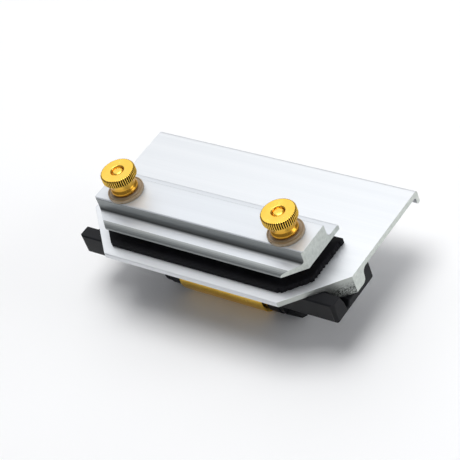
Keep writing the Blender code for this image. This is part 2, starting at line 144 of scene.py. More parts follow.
def make_camera():
    data = bpy.data.cameras.new("camera")
    data.lens = CAMERA_LENS
    data.sensor_width = 36.0
    data.clip_start = 0.01
    data.clip_end = 20
    camera = bpy.data.objects.new("camera", data)
    aimed = (CAMERA_AIM - CAMERA_PLACE).to_track_quat("-Z", "Y").to_matrix().to_4x4()
    rolled = aimed @ Matrix.Rotation(CAMERA_ROLL, 4, "Z")
    camera.matrix_world = Matrix.Translation(ORIGIN + CAMERA_PLACE * MM) @ rolled
    bpy.context.scene.collection.objects.link(camera)
    bpy.context.scene.camera = camera


def area_light(name, place, target, width, height, power, colour=(1, 1, 1)):
    data = bpy.data.lights.new(name, "AREA")
    data.shape = "RECTANGLE"
    data.size = width
    data.size_y = height
    data.energy = power
    data.color = colour
    light = bpy.data.objects.new(name, data)
    light.location = place
    light.rotation_euler = (Vector(target) - Vector(place)).to_track_quat("-Z", "Y").to_euler()
    bpy.context.scene.collection.objects.link(light)


def make_stage():
    builder = bmesh.new()
    bmesh.ops.create_grid(builder, x_segments=1, y_segments=1, size=2.5)
    mesh = bpy.data.meshes.new("floor")
    builder.to_mesh(mesh)
    builder.free()
    floor = bpy.data.objects.new("floor", mesh)
    mesh.materials.append(pale_floor())
    bpy.context.scene.collection.objects.link(floor)

    world = bpy.data.worlds.new("studio")
    world.use_nodes = True
    world.node_tree.nodes["Background"].inputs["Color"].default_value = (0.93, 0.95, 1.0, 1)
    world.node_tree.nodes["Background"].inputs["Strength"].default_value = 0.30
    bpy.context.scene.world = world

    area_light("key_softbox", (-0.08, 0.2, 1.3), (0, 0, 0), 0.85, 0.85, 11.5)
    area_light("back_softbox", (-0.85, 0.75, 0.95), (0, 0, 0), 1.5, 1.1, 4.5)
    area_light("side_softbox", (0.95, 0.35, 0.4), (0, 0, 0.02), 0.5, 0.5, 2.6)
    bpy.context.scene.view_settings.view_transform = "Standard"


# ---------------------------------------------------------------- materials


def start_material(name):
    material = bpy.data.materials.new(name)
    material.use_nodes = True
    return material, material.node_tree, material.node_tree.nodes["Principled BSDF"]


def node(tree, kind, outlet=0, settings=None, **inputs):
    """Add a node, set its properties and inputs (a socket is linked), and return one of its outputs."""
    made = tree.nodes.new("ShaderNode" + kind)
    for key, value in (settings or {}).items():
        setattr(made, key, value)
    for key, value in inputs.items():
        socket = made.inputs[int(key[1:]) if key[1:].isdigit() else key.replace("_", " ")]
        if isinstance(value, bpy.types.NodeSocket):
            tree.links.new(value, socket)
        else:
            socket.default_value = value
    return made.outputs[outlet]


def object_position(tree):
    return tree.nodes.new("ShaderNodeTexCoord").outputs["Object"]


def stretched_noise(tree, scale, detail=3.0, roughness=0.5):
    """Noise over the object's own coordinates; scale is how many features a metre holds along X, Y and Z."""
    place = node(tree, "Mapping", Vector=object_position(tree), Scale=scale)
    return node(tree, "TexNoise", Vector=place, Scale=1.0, Detail=detail, Roughness=roughness)


def remap(tree, value, low, high, start=0.0, end=1.0):
    """Carry start..end over to low..high, and hold the value there beyond both ends."""
    return node(tree, "MapRange", _0=value, _1=start, _2=end, _3=low, _4=high)


def blend_colours(tree, factor, first, second):
    """Blend two colours, the first of which may be a socket."""
    mix = tree.nodes.new("ShaderNodeMix")
    mix.data_type = "RGBA"
    tree.links.new(factor, mix.inputs[0])
    if isinstance(first, bpy.types.NodeSocket):
        tree.links.new(first, mix.inputs[6])
    else:
        mix.inputs[6].default_value = (*first, 1)
    mix.inputs[7].default_value = (*second, 1)
    return mix.outputs[2]


def compute(tree, operation, first, *second):
    """Maths node on one or two values."""
    values = {"_%d" % i: value for i, value in enumerate((first, *second))}
    return node(tree, "Math", settings={"operation": operation}, **values)


def position_axes(tree):
    """Sockets of the object's own X, Y and Z."""
    split = tree.nodes.new("ShaderNodeSeparateXYZ")
    tree.links.new(object_position(tree), split.inputs[0])
    return split.outputs


def bump(tree, height, distance, strength=1.0, base=None):
    """Bump from a height that runs from 0 to 1; distance is its full height in metres."""
    extra = {"Normal": base} if base else {}
    return node(tree, "Bump", Height=height, Distance=distance, Strength=strength, **extra)


def cover(tree, shader, colour, roughness, normal, metallic=0.0):
    """Link the sockets that every material of the guide uses."""
    tree.links.new(colour, shader.inputs["Base Color"])
    tree.links.new(roughness, shader.inputs["Roughness"])
    tree.links.new(normal, shader.inputs["Normal"])
    shader.inputs["Metallic"].default_value = metallic


def satin_aluminium(name="satin_aluminium", dark=(0.685, 0.705, 0.727), light=(0.73, 0.747, 0.765),
                    metallic=0.8, groove_floor=None):
    """Etched and anodised extrusion: very faint die lines run the whole length along X. Going up from the
    height groove_floor, the metal fades from a bright tone through painted shade in the corner to its own
    colour."""
    material, tree, shader = start_material(name)
    lines = stretched_noise(tree, (3, 2600, 2600), 4, 0.6)
    wide = stretched_noise(tree, (2, 260, 260), 3)
    grain = stretched_noise(tree, (9000, 9000, 9000), 2)
    tone = compute(tree, "ADD", lines, wide)
    shade = blend_colours(tree, remap(tree, tone, 0, 1, 0.75, 1.25), dark, light)
    if groove_floor:
        height = position_axes(tree)[2]

        def between(low, high, full_below=False):
            """1 above (or below) a band of heights over the groove's floor, and 0 on its other side."""
            ends = ((groove_floor + low) * MM, (groove_floor + high) * MM)
            return remap(tree, height, *((1, 0) if full_below else (0, 1)), *ends)

        # Painted shade: a near-black band in the corner just above the groove's floor, fading out higher up.
        painted_shade = compute(tree, "MULTIPLY", between(0, 0.6), between(0.9, 3.2, full_below=True))
        shade = blend_colours(tree, painted_shade, shade, (0.09, 0.095, 0.095))
        # At the floor itself the painted tone gives way to a bright tone close to the bar's own metal.
        floor = compute(tree, "MULTIPLY", between(-0.12, 0), between(0.05, 0.6, full_below=True))
        shade = blend_colours(tree, floor, shade, (0.64, 0.655, 0.67))
    etched = bump(tree, grain, 0.000003)
    drawn = bump(tree, lines, 0.0000013, 1.0, etched)
    cover(tree, shader, shade, remap(tree, tone, 0.44, 0.52, 0.7, 1.3), drawn, metallic)
    return material


def milled_aluminium():
    """Coarsely milled corner: pits and torn flecks, darker towards the cutter's exit at the bottom."""
    material, tree, shader = start_material("milled_aluminium")
    flecks = stretched_noise(tree, (1500, 1500, 2600), 5, 0.75)
    wear = remap(tree, position_axes(tree)[2], 1.0, 0.0, -5.0 * MM, -1.6 * MM)
    torn = compute(tree, "MULTIPLY", wear, remap(tree, flecks, 0.15, 1, 0.45, 0.55))
    shade = blend_colours(tree, torn, (0.50, 0.525, 0.50), (0.06, 0.064, 0.06))
    cover(tree, shader, shade, remap(tree, flecks, 0.42, 0.62, 0.3, 0.7), bump(tree, flecks, 0.00012), 0.9)
    return material


def cut_aluminium():
    """Sawn and lightly dressed end: greyer and duller, with fine arcs left by the saw."""
    material, tree, shader = start_material("cut_aluminium")
    marks = stretched_noise(tree, (900, 900, 5200), 3, 0.6)
    cloud = stretched_noise(tree, (700, 700, 700), 4, 0.6)
    patches = remap(tree, cloud, 0, 1, 0.3, 0.7)
    shade = blend_colours(tree, patches, (0.50, 0.535, 0.505), (0.68, 0.71, 0.675))
    cover(tree, shader, shade, remap(tree, cloud, 0.40, 0.56, 0.3, 0.7), bump(tree, marks, 0.00003), 1.0)
    return material


def brass(name, turned_about, knurled_from=None):
    """Polished brass with fine rings about its own axis. Beyond the radius knurled_from, the grooves between
    the teeth of a knurl are darkened with painted shade, and painted shade darkens the metal below the rim."""
    material, tree, shader = start_material(name)
    cloud = stretched_noise(tree, (220, 220, 220), 3, 0.55)
    patches = remap(tree, cloud, 0, 1, 0.3, 0.7)
    shade = blend_colours(tree, patches, (0.90, 0.555, 0.08), (0.95, 0.625, 0.115))
    axes = dict(zip("XYZ", position_axes(tree)))
    axis = axes.pop(turned_about)
    first, second = axes.values()
    squares = [compute(tree, "MULTIPLY", socket, socket) for socket in (first, second)]
    radius = compute(tree, "SQRT", compute(tree, "ADD", *squares))
    along = node(tree, "CombineXYZ", X=radius, Y=axis)
    flat = {"noise_dimensions": "2D"}
    rings = node(tree, "TexNoise", Vector=along, Scale=7000.0, Detail=3.0, settings=flat)
    if knurled_from:
        # Painted shade below the rim, darkest at the foot and fading out towards the rim.
        painted_shade_below_rim = remap(tree, axis, 0.75, 0.0, 2.5 * MM, 6.2 * MM)
        shade = blend_colours(tree, painted_shade_below_rim, shade, (0.55, 0.24, 0.017))
        # Painted shade between the knurl's teeth.
        turns = compute(tree, "MULTIPLY", compute(tree, "ARCTAN2", second, first), float(KNURL_TEETH))
        groove = remap(tree, compute(tree, "COSINE", turns), 1.0, 0.0, -0.4, 0.75)
        rim = remap(tree, radius, 0.0, 1.0, knurled_from * MM, (knurled_from + 0.08) * MM)
        shade = blend_colours(tree, compute(tree, "MULTIPLY", groove, rim), shade, (0.03, 0.011, 0.002))
    cover(tree, shader, shade, remap(tree, cloud, 0.19, 0.29, 0.3, 0.7), bump(tree, rings, 0.000012), 1.0)
    return material


def bright_steel():
    material, tree, shader = start_material("bright_steel")
    cloud = stretched_noise(tree, (900, 900, 900), 3, 0.6)
    shade = blend_colours(tree, remap(tree, cloud, 0, 1, 0.3, 0.7), (0.52, 0.52, 0.53), (0.68, 0.68, 0.68))
    cover(tree, shader, shade, remap(tree, cloud, 0.24, 0.38, 0.3, 0.7), bump(tree, cloud, 0.000008), 1.0)
    return material


def rubber():
    """Calendered black rubber: a fine cloth-like grain, with slightly paler patches."""
    material, tree, shader = start_material("rubber")
    grain = stretched_noise(tree, (3600, 3600, 3600), 4, 0.7)
    cloud = stretched_noise(tree, (160, 160, 160), 4, 0.6)
    patches = remap(tree, cloud, 0, 1, 0.35, 0.7)
    shade = blend_colours(tree, patches, (0.003, 0.003, 0.004), (0.010, 0.010, 0.013))
    cover(tree, shader, shade, remap(tree, cloud, 0.55, 0.78, 0.3, 0.7), bump(tree, grain, 0.00006))
    shader.inputs["Specular IOR Level"].default_value = 0.14
    return material


def moulded_plastic():
    """Spark-eroded mould texture on charcoal nylon."""
    material, tree, shader = start_material("moulded_plastic")
    grain = stretched_noise(tree, (5200, 5200, 5200), 3, 0.6)
    cloud = stretched_noise(tree, (90, 220, 220), 3, 0.5)
    patches = remap(tree, cloud, 0, 1, 0.3, 0.7)
    shade = blend_colours(tree, patches, (0.0045, 0.0047, 0.0055), (0.010, 0.0105, 0.013))
    cover(tree, shader, shade, remap(tree, cloud, 0.42, 0.55, 0.3, 0.7), bump(tree, grain, 0.000025))
    shader.inputs["Specular IOR Level"].default_value = 0.16
    return material


def clear_nylon():
    """Amber nylon of the washers and bushes, slightly see-through."""
    material, tree, shader = start_material("clear_nylon")
    cloud = stretched_noise(tree, (260, 260, 260), 2, 0.5)
    shade = blend_colours(tree, remap(tree, cloud, 0, 1, 0.3, 0.7), (0.37, 0.27, 0.16), (0.48, 0.375, 0.24))
    cover(tree, shader, shade, remap(tree, cloud, 0.26, 0.34, 0.3, 0.7), bump(tree, cloud, 0.00001))
    shader.inputs["Transmission Weight"].default_value = 0.15
    shader.inputs["IOR"].default_value = 1.53
    return material


def pale_floor():
    material, tree, shader = start_material("pale_floor")
    cloud = stretched_noise(tree, (6, 6, 6), 3)
    shade = blend_colours(tree, cloud, (0.94, 0.94, 0.94), (0.97, 0.97, 0.97))
    tree.links.new(shade, shader.inputs["Base Color"])
    shader.inputs["Roughness"].default_value = 0.6
    return material


# ---------------------------------------------------------------- mesh tools


def arc(centre, radius, start, end, steps):
    """Points of an arc in a (horizontal, vertical) plane, angles in degrees."""
    angles = [math.radians(start + (end - start) * i / steps) for i in range(steps + 1)]
    return [(centre[0] + radius * math.cos(a), centre[1] + radius * math.sin(a)) for a in angles]


def extrude(outline, place, distance):
    """Prism on an outline, whose points place() puts in space."""
    builder = bmesh.new()
    face = builder.faces.new([builder.verts.new(place(a, b)) for a, b in outline])
    moved = bmesh.ops.extrude_face_region(builder, geom=[face])
    corners = [item for item in moved["geom"] if isinstance(item, bmesh.types.BMVert)]
    bmesh.ops.translate(builder, verts=corners, vec=distance)
    return builder


def bar_along_x(outline, start, end):
    return extrude(outline, lambda y, z: (start, y, z), Vector((end - start, 0, 0)))


def join_rings(builder, rings, closed=False):
    """Faces between neighbouring rings, and from the last ring to the first if closed."""
    for low, high in zip(rings, rings[1:] + (rings[:1] if closed else [])):
        for i in range(len(low)):
            j = (i + 1) % len(low)
            builder.faces.new((low[i], low[j], high[j], high[i]))


def inset_outline(outline, distance):
    """Shrink an anticlockwise outline: each corner moves in along its mitre."""
    result = []
    for before, here, after in zip(outline[-1:] + outline[:-1], outline, outline[1:] + outline[:1]):
        first = (Vector(here) - Vector(before)).normalized()
        second = (Vector(after) - Vector(here)).normalized()
        inward = Vector((-first.y, first.x)), Vector((-second.y, second.x))
        mitre = (inward[0] + inward[1]) / max(0.4, 1 + inward[0].dot(inward[1]))
        result.append(Vector(here) + mitre * distance)
    return result


def round_ended_bar(outline, start, end, radius, steps=4):
    """Bar along X whose end edges are rounded all the way round."""
    builder = bmesh.new()
    angles = [math.pi / 2 * i / steps for i in range(steps + 1)]
    quarter = [(radius * (1 - math.sin(a)), radius * (1 - math.cos(a))) for a in angles]
    stations = [(start + x, inset) for x, inset in reversed(quarter)]
    stations += [(end - x, inset) for x, inset in quarter]
    rings = []
    for x, inset in stations:
        rings.append([builder.verts.new((x, y, z)) for y, z in inset_outline(outline, inset)])
    join_rings(builder, rings)
    builder.faces.new(rings[0])
    builder.faces.new(rings[-1])
    return builder


def trim_corner(builder, point, outward):
    """Cut off what lies outward of a point, and close the cut."""
    geometry = builder.verts[:] + builder.edges[:] + builder.faces[:]
    result = bmesh.ops.bisect_plane(
        builder, geom=geometry, dist=1e-4, plane_co=point, plane_no=outward, clear_outer=True
    )
    rim = [item for item in result["geom_cut"] if isinstance(item, bmesh.types.BMEdge)]
    bmesh.ops.edgeloop_fill(builder, edges=rim)


def trim_front_corners(builder, half_length, front, corner):
    for side in (-1, 1):
        point = Vector((side * (half_length - corner), front, 0))
        trim_corner(builder, point, Vector((side, -1, 0)).normalized())


def revolve(rows, columns, along_x=False, closed=False):
    """Grid of rings about Z or X. A row is (radius, height), and radius may be a function of the angle."""
    builder = bmesh.new()
    rings = []
    for radius, height in rows:
        ring = []
        for i in range(columns):
            angle = math.tau * i / columns
            r = radius(angle) if callable(radius) else radius
            a, b = r * math.cos(angle), r * math.sin(angle)
            ring.append(builder.verts.new((height, a, b) if along_x else (a, b, height)))
        rings.append(ring)
    join_rings(builder, rings, closed)
    if not closed:
        for ring in (rings[0], rings[-1]):
            if (ring[0].co - ring[columns // 2].co).length > 1e-6:
                builder.faces.new(ring)
    return builder


def rounded(points, radius, steps=3):
    """Round the corners of a (radius, height) profile. A corner keeps its size where its sides are short."""
    result = [points[0]]
    for before, corner, after in zip(points, points[1:], points[2:]):
        here = Vector(corner)
        to_before, to_after = Vector(before) - here, Vector(after) - here
        size = min(radius, to_before.length * 0.45, to_after.length * 0.45)
        first, last = here + to_before.normalized() * size, here + to_after.normalized() * size
        for i in range(steps + 1):
            t = i / steps
            point = first * (1 - t) ** 2 + here * (2 * t * (1 - t)) + last * t ** 2
            result.append((point.x, point.y))
    return result + [points[-1]]


def new_object(name, builder, materials, place=(0, 0, 0)):
    """Object made from a bmesh in millimetres, with its origin at place."""
    bmesh.ops.remove_doubles(builder, verts=builder.verts, dist=1e-4)
    bmesh.ops.recalc_face_normals(builder, faces=builder.faces)
    bmesh.ops.scale(builder, verts=builder.verts, vec=(MM, MM, MM))
    mesh = bpy.data.meshes.new(name)
    builder.to_mesh(mesh)
    builder.free()
    for material in materials:
        mesh.materials.append(material)
    thing = bpy.data.objects.new(name, mesh)
    thing.location = ORIGIN + Vector(place) * MM
    bpy.context.scene.collection.objects.link(thing)
    return thing


def apply_modifiers(thing):
    bpy.context.view_layer.update()
    graph = bpy.context.evaluated_depsgraph_get()
    mesh = bpy.data.meshes.new_from_object(thing.evaluated_get(graph))
    thing.modifiers.clear()
    thing.data = mesh


def combine(thing, other, operation):
    """Cut other out of thing, or join it on, and drop other."""
    modifier = thing.modifiers.new("combine", "BOOLEAN")
    modifier.operation = operation
    modifier.solver = "EXACT"
    modifier.object = other
    apply_modifiers(thing)
    bpy.data.objects.remove(other, do_unlink=True)


def drill(thing, radius, place, length, along_x=False, sides=48):
    hole = revolve([(radius, -length / 2), (radius, length / 2)], sides, along_x)
    combine(thing, new_object("drill", hole, [], place), "DIFFERENCE")


def soften(thing, width, segments=2, angle=38):
    """Break the sharp edges, width in millimetres, and shade the rest smooth."""
    modifier = thing.modifiers.new("edges", "BEVEL")
    modifier.width = width * MM
    modifier.segments = segments
    modifier.limit_method = "ANGLE"
    modifier.angle_limit = math.radians(angle)
    modifier.harden_normals = False
    modifier.use_clamp_overlap = True
    apply_modifiers(thing)
    thing.data.shade_smooth()
    thing.data.set_sharp_from_angle(angle=math.radians(50))
    weigh = thing.modifiers.new("shading", "WEIGHTED_NORMAL")
    weigh.keep_sharp = True
    apply_modifiers(thing)


def smooth(thing, angle=50):
    thing.data.shade_smooth()
    thing.data.set_sharp_from_angle(angle=math.radians(angle))


def place_piece(thing, body, node_name):
    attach(thing, body)
    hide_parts(node_name)
    return thing


def second_piece(first, name, place, body, node_name):
    """Another piece of the same shape."""
    thing = bpy.data.objects.new(name, first.data)
    thing.location = ORIGIN + Vector(place) * MM
    bpy.context.scene.collection.objects.link(thing)
    return place_piece(thing, body, node_name)


def stud_pair(kind, builder, material, height, angle, bodies, node_kind):
    """The same piece on the axis of each stud, left and right."""
    left = new_object(kind + "_left", builder, [material], (-STUD_X, STUD_Y, height))
    smooth(left, angle)
    place_piece(left, bodies[0], node_kind + "_left")
    place = (STUD_X, STUD_Y, height)
    second_piece(left, kind + "_right", place, bodies[1], node_kind + "_right")


def paint_cut_faces(thing, end_slot, corner_slot):
    """Give the square ends and the slanting corners of an extrusion the material slots of their cuts."""
    for polygon in thing.data.polygons:
        across = abs(polygon.normal.x)
        if across > 0.9:
            polygon.material_index = end_slot
        elif across > 0.5 and polygon.area > CORNER_FACE_AREA:
            polygon.material_index = corner_slot


# ---------------------------------------------------------------- outlines, seen from the right (Y, Z)


def rib_outline(offset, steps):
    """The bed's rib from its front foot, round underneath, to the bed's underside behind it. The offset
    makes it larger, for the channel that fits round it."""
    front_centre, front_radius = (17.9, -5.5), 3.0
    back_centre, back_radius, fillet = (25.1, -6.3), 2.2, 2.3
    low = BED_LOW.z - offset
    front_round = arc(front_centre, front_radius + offset, 207, 270, steps)
    back_round = arc(back_centre, back_radius + offset, 270, 355, steps)
    back_fillet = arc((RIB_BACK + fillet, -BED_THICKNESS - fillet), fillet - offset, 175, 90, steps)
    return [(RIB_FRONT - offset, -BED_THICKNESS)] + front_round + [(21, low)] + back_round + back_fillet


def bed_outline():
    """Flat bed with its rib in front and a lip turned down at the back."""
    root_radius, crown_radius, edge, tip_radius = 1.2, 1.6, 0.35, LIP_THICKNESS / 2
    back = BED_HIGH.y
    root_centre = (back - LIP_THICKNESS - root_radius, -BED_THICKNESS - root_radius)
    root = arc(root_centre, root_radius, 90, 0, 8)
    tip = arc((back - tip_radius, -LIP_DEPTH + tip_radius), tip_radius, 180, 360, 14)
    crown = arc((back - crown_radius, -crown_radius), crown_radius, 0, 90, 10)
    front = arc((edge, -edge), edge, 90, 180, 4) + arc((edge, edge - BED_THICKNESS), edge, 180, 270, 4)
    return rib_outline(0, 12) + root + tip + crown + front


def bar_outline():
    """Blunt nose, floor of the finger groove, its wall, the top, and a ledge along the back."""
    low, top = BAR_LOW.z, BAR_HIGH.z
    front, back = BAR_LOW.y, BAR_HIGH.y
    front_edge, back_edge, lip_edge = 0.9, 0.5, 0.4
    wall = front + FRONT_WALL
    heel_wall = back - HEEL
    nose = [(front, low)] + rounded([(front, low), (front, low + 1.1), (front + 1.0, low + 1.8)], 0.5)[1:-1]
    bevel = [(front + 1.0, low + 1.8), (front + 2.4, low + 2.3)]
    groove = arc((wall - GROOVE_RADIUS, low + GROOVE_FLOOR + GROOVE_RADIUS), GROOVE_RADIUS, 270, 360, 12)
    front_crown = arc((wall + front_edge, top - front_edge), front_edge, 180, 90, 8)
    back_crown = arc((heel_wall - back_edge, top - back_edge), back_edge, 90, 0, 5)
    heel_centre = (heel_wall + GROOVE_RADIUS, low + HEEL_FLOOR + GROOVE_RADIUS)
    heel = arc(heel_centre, GROOVE_RADIUS, 180, 265, 12)
    lip = [(back - 1.1, low + 2.4)] + arc((back - lip_edge, low + 1.7), lip_edge, 70, 0, 4) + [(back, low)]
    return (nose + bevel + groove + front_crown + back_crown + heel + lip)[::-1]


def carrier_outline():
    """Channel under the bed: a thick front wall, the floor, and a back wall that follows the rib."""
    under_bed = -BED_THICKNESS - TOUCH
    edge = CARRIER_EDGE
    front, back, bottom = CARRIER_LOW.y, CARRIER_HIGH.y, CARRIER_FLOOR
    front_bottom = arc((front + edge, bottom + edge), edge, 180, 270, 6)
    back_bottom = arc((back - edge, bottom + edge), edge, 270, 360, 6)
    back_top = [(back, under_bed), (RIB_BACK + 2.4, under_bed)]
    followed = [p for p in rib_outline(TOUCH, 12) if p[0] > 16.4 and p[1] < -2.9]
    notch = [(15.0, -10.7), (14.1, -10.7), (13.9, -7.3), (12.3, under_bed)]
    front_top = [(front + 0.5, under_bed), (front, under_bed - 0.5)]
    return front_bottom + back_bottom + back_top + followed[::-1] + notch + front_top


# ---------------------------------------------------------------- pieces of the base


def make_bed(metal, cut_metal, milled_metal):
    """Extrusion with its front corners milled off."""
    builder = bar_along_x(bed_outline(), BED_LOW.x, BED_HIGH.x)
    trim_front_corners(builder, BED_HIGH.x, 0, BED_CORNER)
    bed = new_object("bed_extrusion", builder, [metal, cut_metal, milled_metal])
    for side in (-1, 1):
        drill(bed, STUD_RADIUS + 0.1, (side * STUD_X, STUD_Y, -4), 16)
    paint_cut_faces(bed, 1, 2)
    soften(bed, 0.12)
    place_piece(bed, "base", "bed")


def pad_edge_points():
    """Points round the pad in short steps, each with the way out, so that the cut edge can waver."""
    half, front, back = PAD_HIGH.x, PAD_LOW.y, PAD_HIGH.y
    corners = [
        Vector((half, front + PAD_CORNER)),
        Vector((half, back)),
        Vector((-half, back)),
        Vector((-half, front + PAD_CORNER)),
        Vector((-half + PAD_CORNER, front)),
        Vector((half - PAD_CORNER, front)),
    ]
    sides = [(end - start).normalized() for start, end in zip(corners, corners[1:] + corners[:1])]
    points = []
    for i, start in enumerate(corners):
        end = corners[(i + 1) % len(corners)]
        outward = Vector((sides[i].y, -sides[i].x))
        before = Vector((sides[i - 1].y, -sides[i - 1].x))
        points.append((start, (outward + before) / (1 + outward.dot(before))))
        steps = round((end - start).length / PAD_STEP)
        points += [(start.lerp(end, k / steps), outward) for k in range(1, steps)]
    return points


def make_pad(material):
    """Sheet rubber cut with a knife: the right end is the roughest."""
    top = PAD_HIGH.z
    points = pad_edge_points()
    builder = bmesh.new()
    levels = [(height, 0.0) for height in (TOUCH, 0.5, 1.1, 1.7, top - 0.2)]
    levels += [(top - 0.05, 0.06), (top, 0.2)]
    rings = []
    for height, inset in levels:
        ring = []
        for point, outward in points:
            torn = point.x > PAD_HIGH.x - PAD_CORNER - 1 and point.y < PAD_HIGH.y - 2
            rough = PAD_TEAR if torn else PAD_WAVER
            waver = noise.noise(Vector((point.x * 0.55, point.y * 0.55, height * 0.15)))
            tear = noise.noise(Vector((point.x * 1.7, point.y * 1.7, height * 0.4 + 9)))
            spot = point - outward * (inset + rough * min(1.0, abs(waver) * 1.6 + abs(tear) * 0.7))
            ring.append(builder.verts.new((spot.x, spot.y, height)))
        rings.append(ring)
    join_rings(builder, rings)
    builder.faces.new(rings[0])
    builder.faces.new(rings[-1])
    pad = new_object("rubber_pad", builder, [material])
    for side in (-1, 1):
        drill(pad, STUD_RADIUS + 0.2, (side * STUD_X, STUD_Y, 1), 8)
    smooth(pad, 40)
    place_piece(pad, "base", "bed_pad")


def make_studs(material):
    """Threaded brass rod with a chamfered, slightly domed end."""
    columns, steps = 24, 6
    bottom, top = STUD_LOW.z, STUD_HIGH.z - 0.8
    depth = STUD_RADIUS - STUD_CORE + 0.05

    def thread(height):
        def radius(angle):
            phase = (height / THREAD_PITCH - angle / math.tau) % 1.0
            return STUD_RADIUS - depth * min(1.0, max(0.0, abs(phase - 0.5) * 2.9 - 0.35))

        return radius

    count = round((top - bottom) / THREAD_PITCH * steps)
    heights = [bottom + (top - bottom) * i / count for i in range(count + 1)]
    rows = [(0.0, bottom)] + [(thread(height), height) for height in heights]
    rows += [(2.25, top + 0.15), (2.1, top + 0.42), (1.9, top + 0.6), (1.4, top + 0.71), (0.7, top + 0.78)]
    rows += [(0.0, STUD_HIGH.z)]
    stud_pair("brass_stud", revolve(rows, columns), material, 0, 60, ("base", "base"), "stud")


def make_carrier(material):
    """Channel with two ears: drilled for the eccentric and for the screws, its front corners rounded."""
    screw_hole, counterbore, ear_overlap = 1.7, 2.9, 1.5
    channel = round_ended_bar(carrier_outline(), CARRIER_LOW.x, CARRIER_HIGH.x, 0.6)
    carrier = new_object("carrier_moulding", channel, [material])
    half, front = CARRIER_HIGH.x - UPRIGHT_ROUNDING, CARRIER_LOW.y + UPRIGHT_ROUNDING
    plan = arc((-half, front), UPRIGHT_ROUNDING, 180, 270, 8)
    plan += arc((half, front), UPRIGHT_ROUNDING, 270, 360, 8)
    plan += [(CARRIER_HIGH.x, CARRIER_HIGH.y + 1), (CARRIER_LOW.x, CARRIER_HIGH.y + 1)]
    upright = extrude(plan, lambda x, y: (x, y, CARRIER_LOW.z - 1), Vector((0, 0, -CARRIER_LOW.z + 2)))
    combine(carrier, new_object("rounded_uprights", upright, []), "INTERSECT")
    lobe = arc((ROLLER_Y, CAM_Z), EAR_RADIUS, 195, 345, 30)
    shoulder = EAR_RADIUS + 1.6
    ear = lobe + [(ROLLER_Y + side * shoulder, CARRIER_FLOOR + ear_overlap) for side in (1, -1)]
    for start, end in ((-EAR_OUTER, -EAR_INNER), (EAR_INNER, EAR_OUTER)):
        combine(carrier, new_object("ear", bar_along_x(ear, start, end), []), "UNION")
        middle = ((start + end) / 2, ROLLER_Y, CAM_Z)
        drill(carrier, CAM_JOURNAL + 0.1, middle, EAR_OUTER - EAR_INNER + 4, along_x=True, sides=64)
    for x in SCREW_PLACES:
        drill(carrier, screw_hole, (x, SCREW_Y, CARRIER_FLOOR), 9, sides=24)
        drill(carrier, counterbore, (x, SCREW_Y, CARRIER_FLOOR), 4, sides=40)
    soften(carrier, 0.12, 2, 40)
    place_piece(carrier, "base", "roller_carrier")


def make_screws(material):
    """Cheese-head screws with a hexagon socket."""
    head_radius, head_height, shank, socket_radius, socket_depth = 2.7, 1.7, 1.5, 1.45, 1.1
    low, shoulder = SCREW_LOW.z, SCREW_LOW.z + head_height
    side = [(head_radius, low), (head_radius, shoulder), (shank, shoulder), (shank, SCREW_HIGH.z)]
    head = rounded([(0, low)] + side, 0.25) + [(0, SCREW_HIGH.z)]
    screw = new_object("cheese_head_1", revolve(head, 40), [material], (SCREW_PLACES[0], SCREW_Y, 0))
    socket = revolve([(socket_radius, low - 1), (socket_radius, low + socket_depth)], 6)
    combine(screw, new_object("socket", socket, [], (SCREW_PLACES[0], SCREW_Y, 0)), "DIFFERENCE")
    smooth(screw, 30)
    place_piece(screw, "base", "carrier_screw_1")
    for number, x in enumerate(SCREW_PLACES[1:], 2):
        node_name = "carrier_screw_%d" % number
        second_piece(screw, "cheese_head_%d" % number, (x, SCREW_Y, 0), "base", node_name)


# ---------------------------------------------------------------- clamp


def make_clamp_bar(metal, cut_metal, painted_shade_metal):
    builder = bar_along_x(bar_outline(), BAR_LOW.x, BAR_HIGH.x)
    trim_front_corners(builder, BAR_HIGH.x, BAR_LOW.y, BAR_CORNER)
    bar = new_object("clamp_extrusion", builder, [metal, cut_metal, painted_shade_metal])
    for side in (-1, 1):
        drill(bar, STUD_RADIUS + 0.2, (side * STUD_X, STUD_Y, 12), 16)
    # Painted shade: the fronts of the nose and of the groove's wall, and the bar's back edges, take the
    # darkened copy of the aluminium.
    for polygon in bar.data.polygons:
        middle = (bar.matrix_world @ polygon.center - ORIGIN) / MM
        in_front = middle.y < BAR_LOW.y + GROOVE_DEPTH and abs(polygon.normal.x) < 0.5
        at_back = polygon.normal.y > 0.6
        if at_back or (in_front and polygon.normal.y < -0.16 and middle.z < BAR_HIGH.z - 0.35):
            polygon.material_index = 2
    paint_cut_faces(bar, 1, 1)
    soften(bar, 0.18)
    place_piece(bar, "clamp", "clamp_bar")


def make_washers(material):
    """Washer with a flat seat for the nut, a shallow groove round it and a raised rim."""
    inner, outer, height = STUD_RADIUS + 0.15, WASHER_RADIUS, WASHER_THICKNESS
    sunk, lip = height - WASHER_GROOVE, outer - WASHER_RIM
    groove = [(outer, height), (lip, height), (lip - 0.15, sunk)]
    groove += [(WASHER_SEAT + 0.15, sunk), (WASHER_SEAT, height)]
    loop = [(inner, height / 2), (inner, 0), (outer, 0)] + groove + [(inner, height), (inner, height / 2)]
    builder = revolve(rounded(loop, 0.12, 3)[:-1], 96, closed=True)
    base = BAR_HIGH.z + TOUCH
    stud_pair("nylon_washer", builder, material, base, 60, ("clamp", "clamp"), "washer")


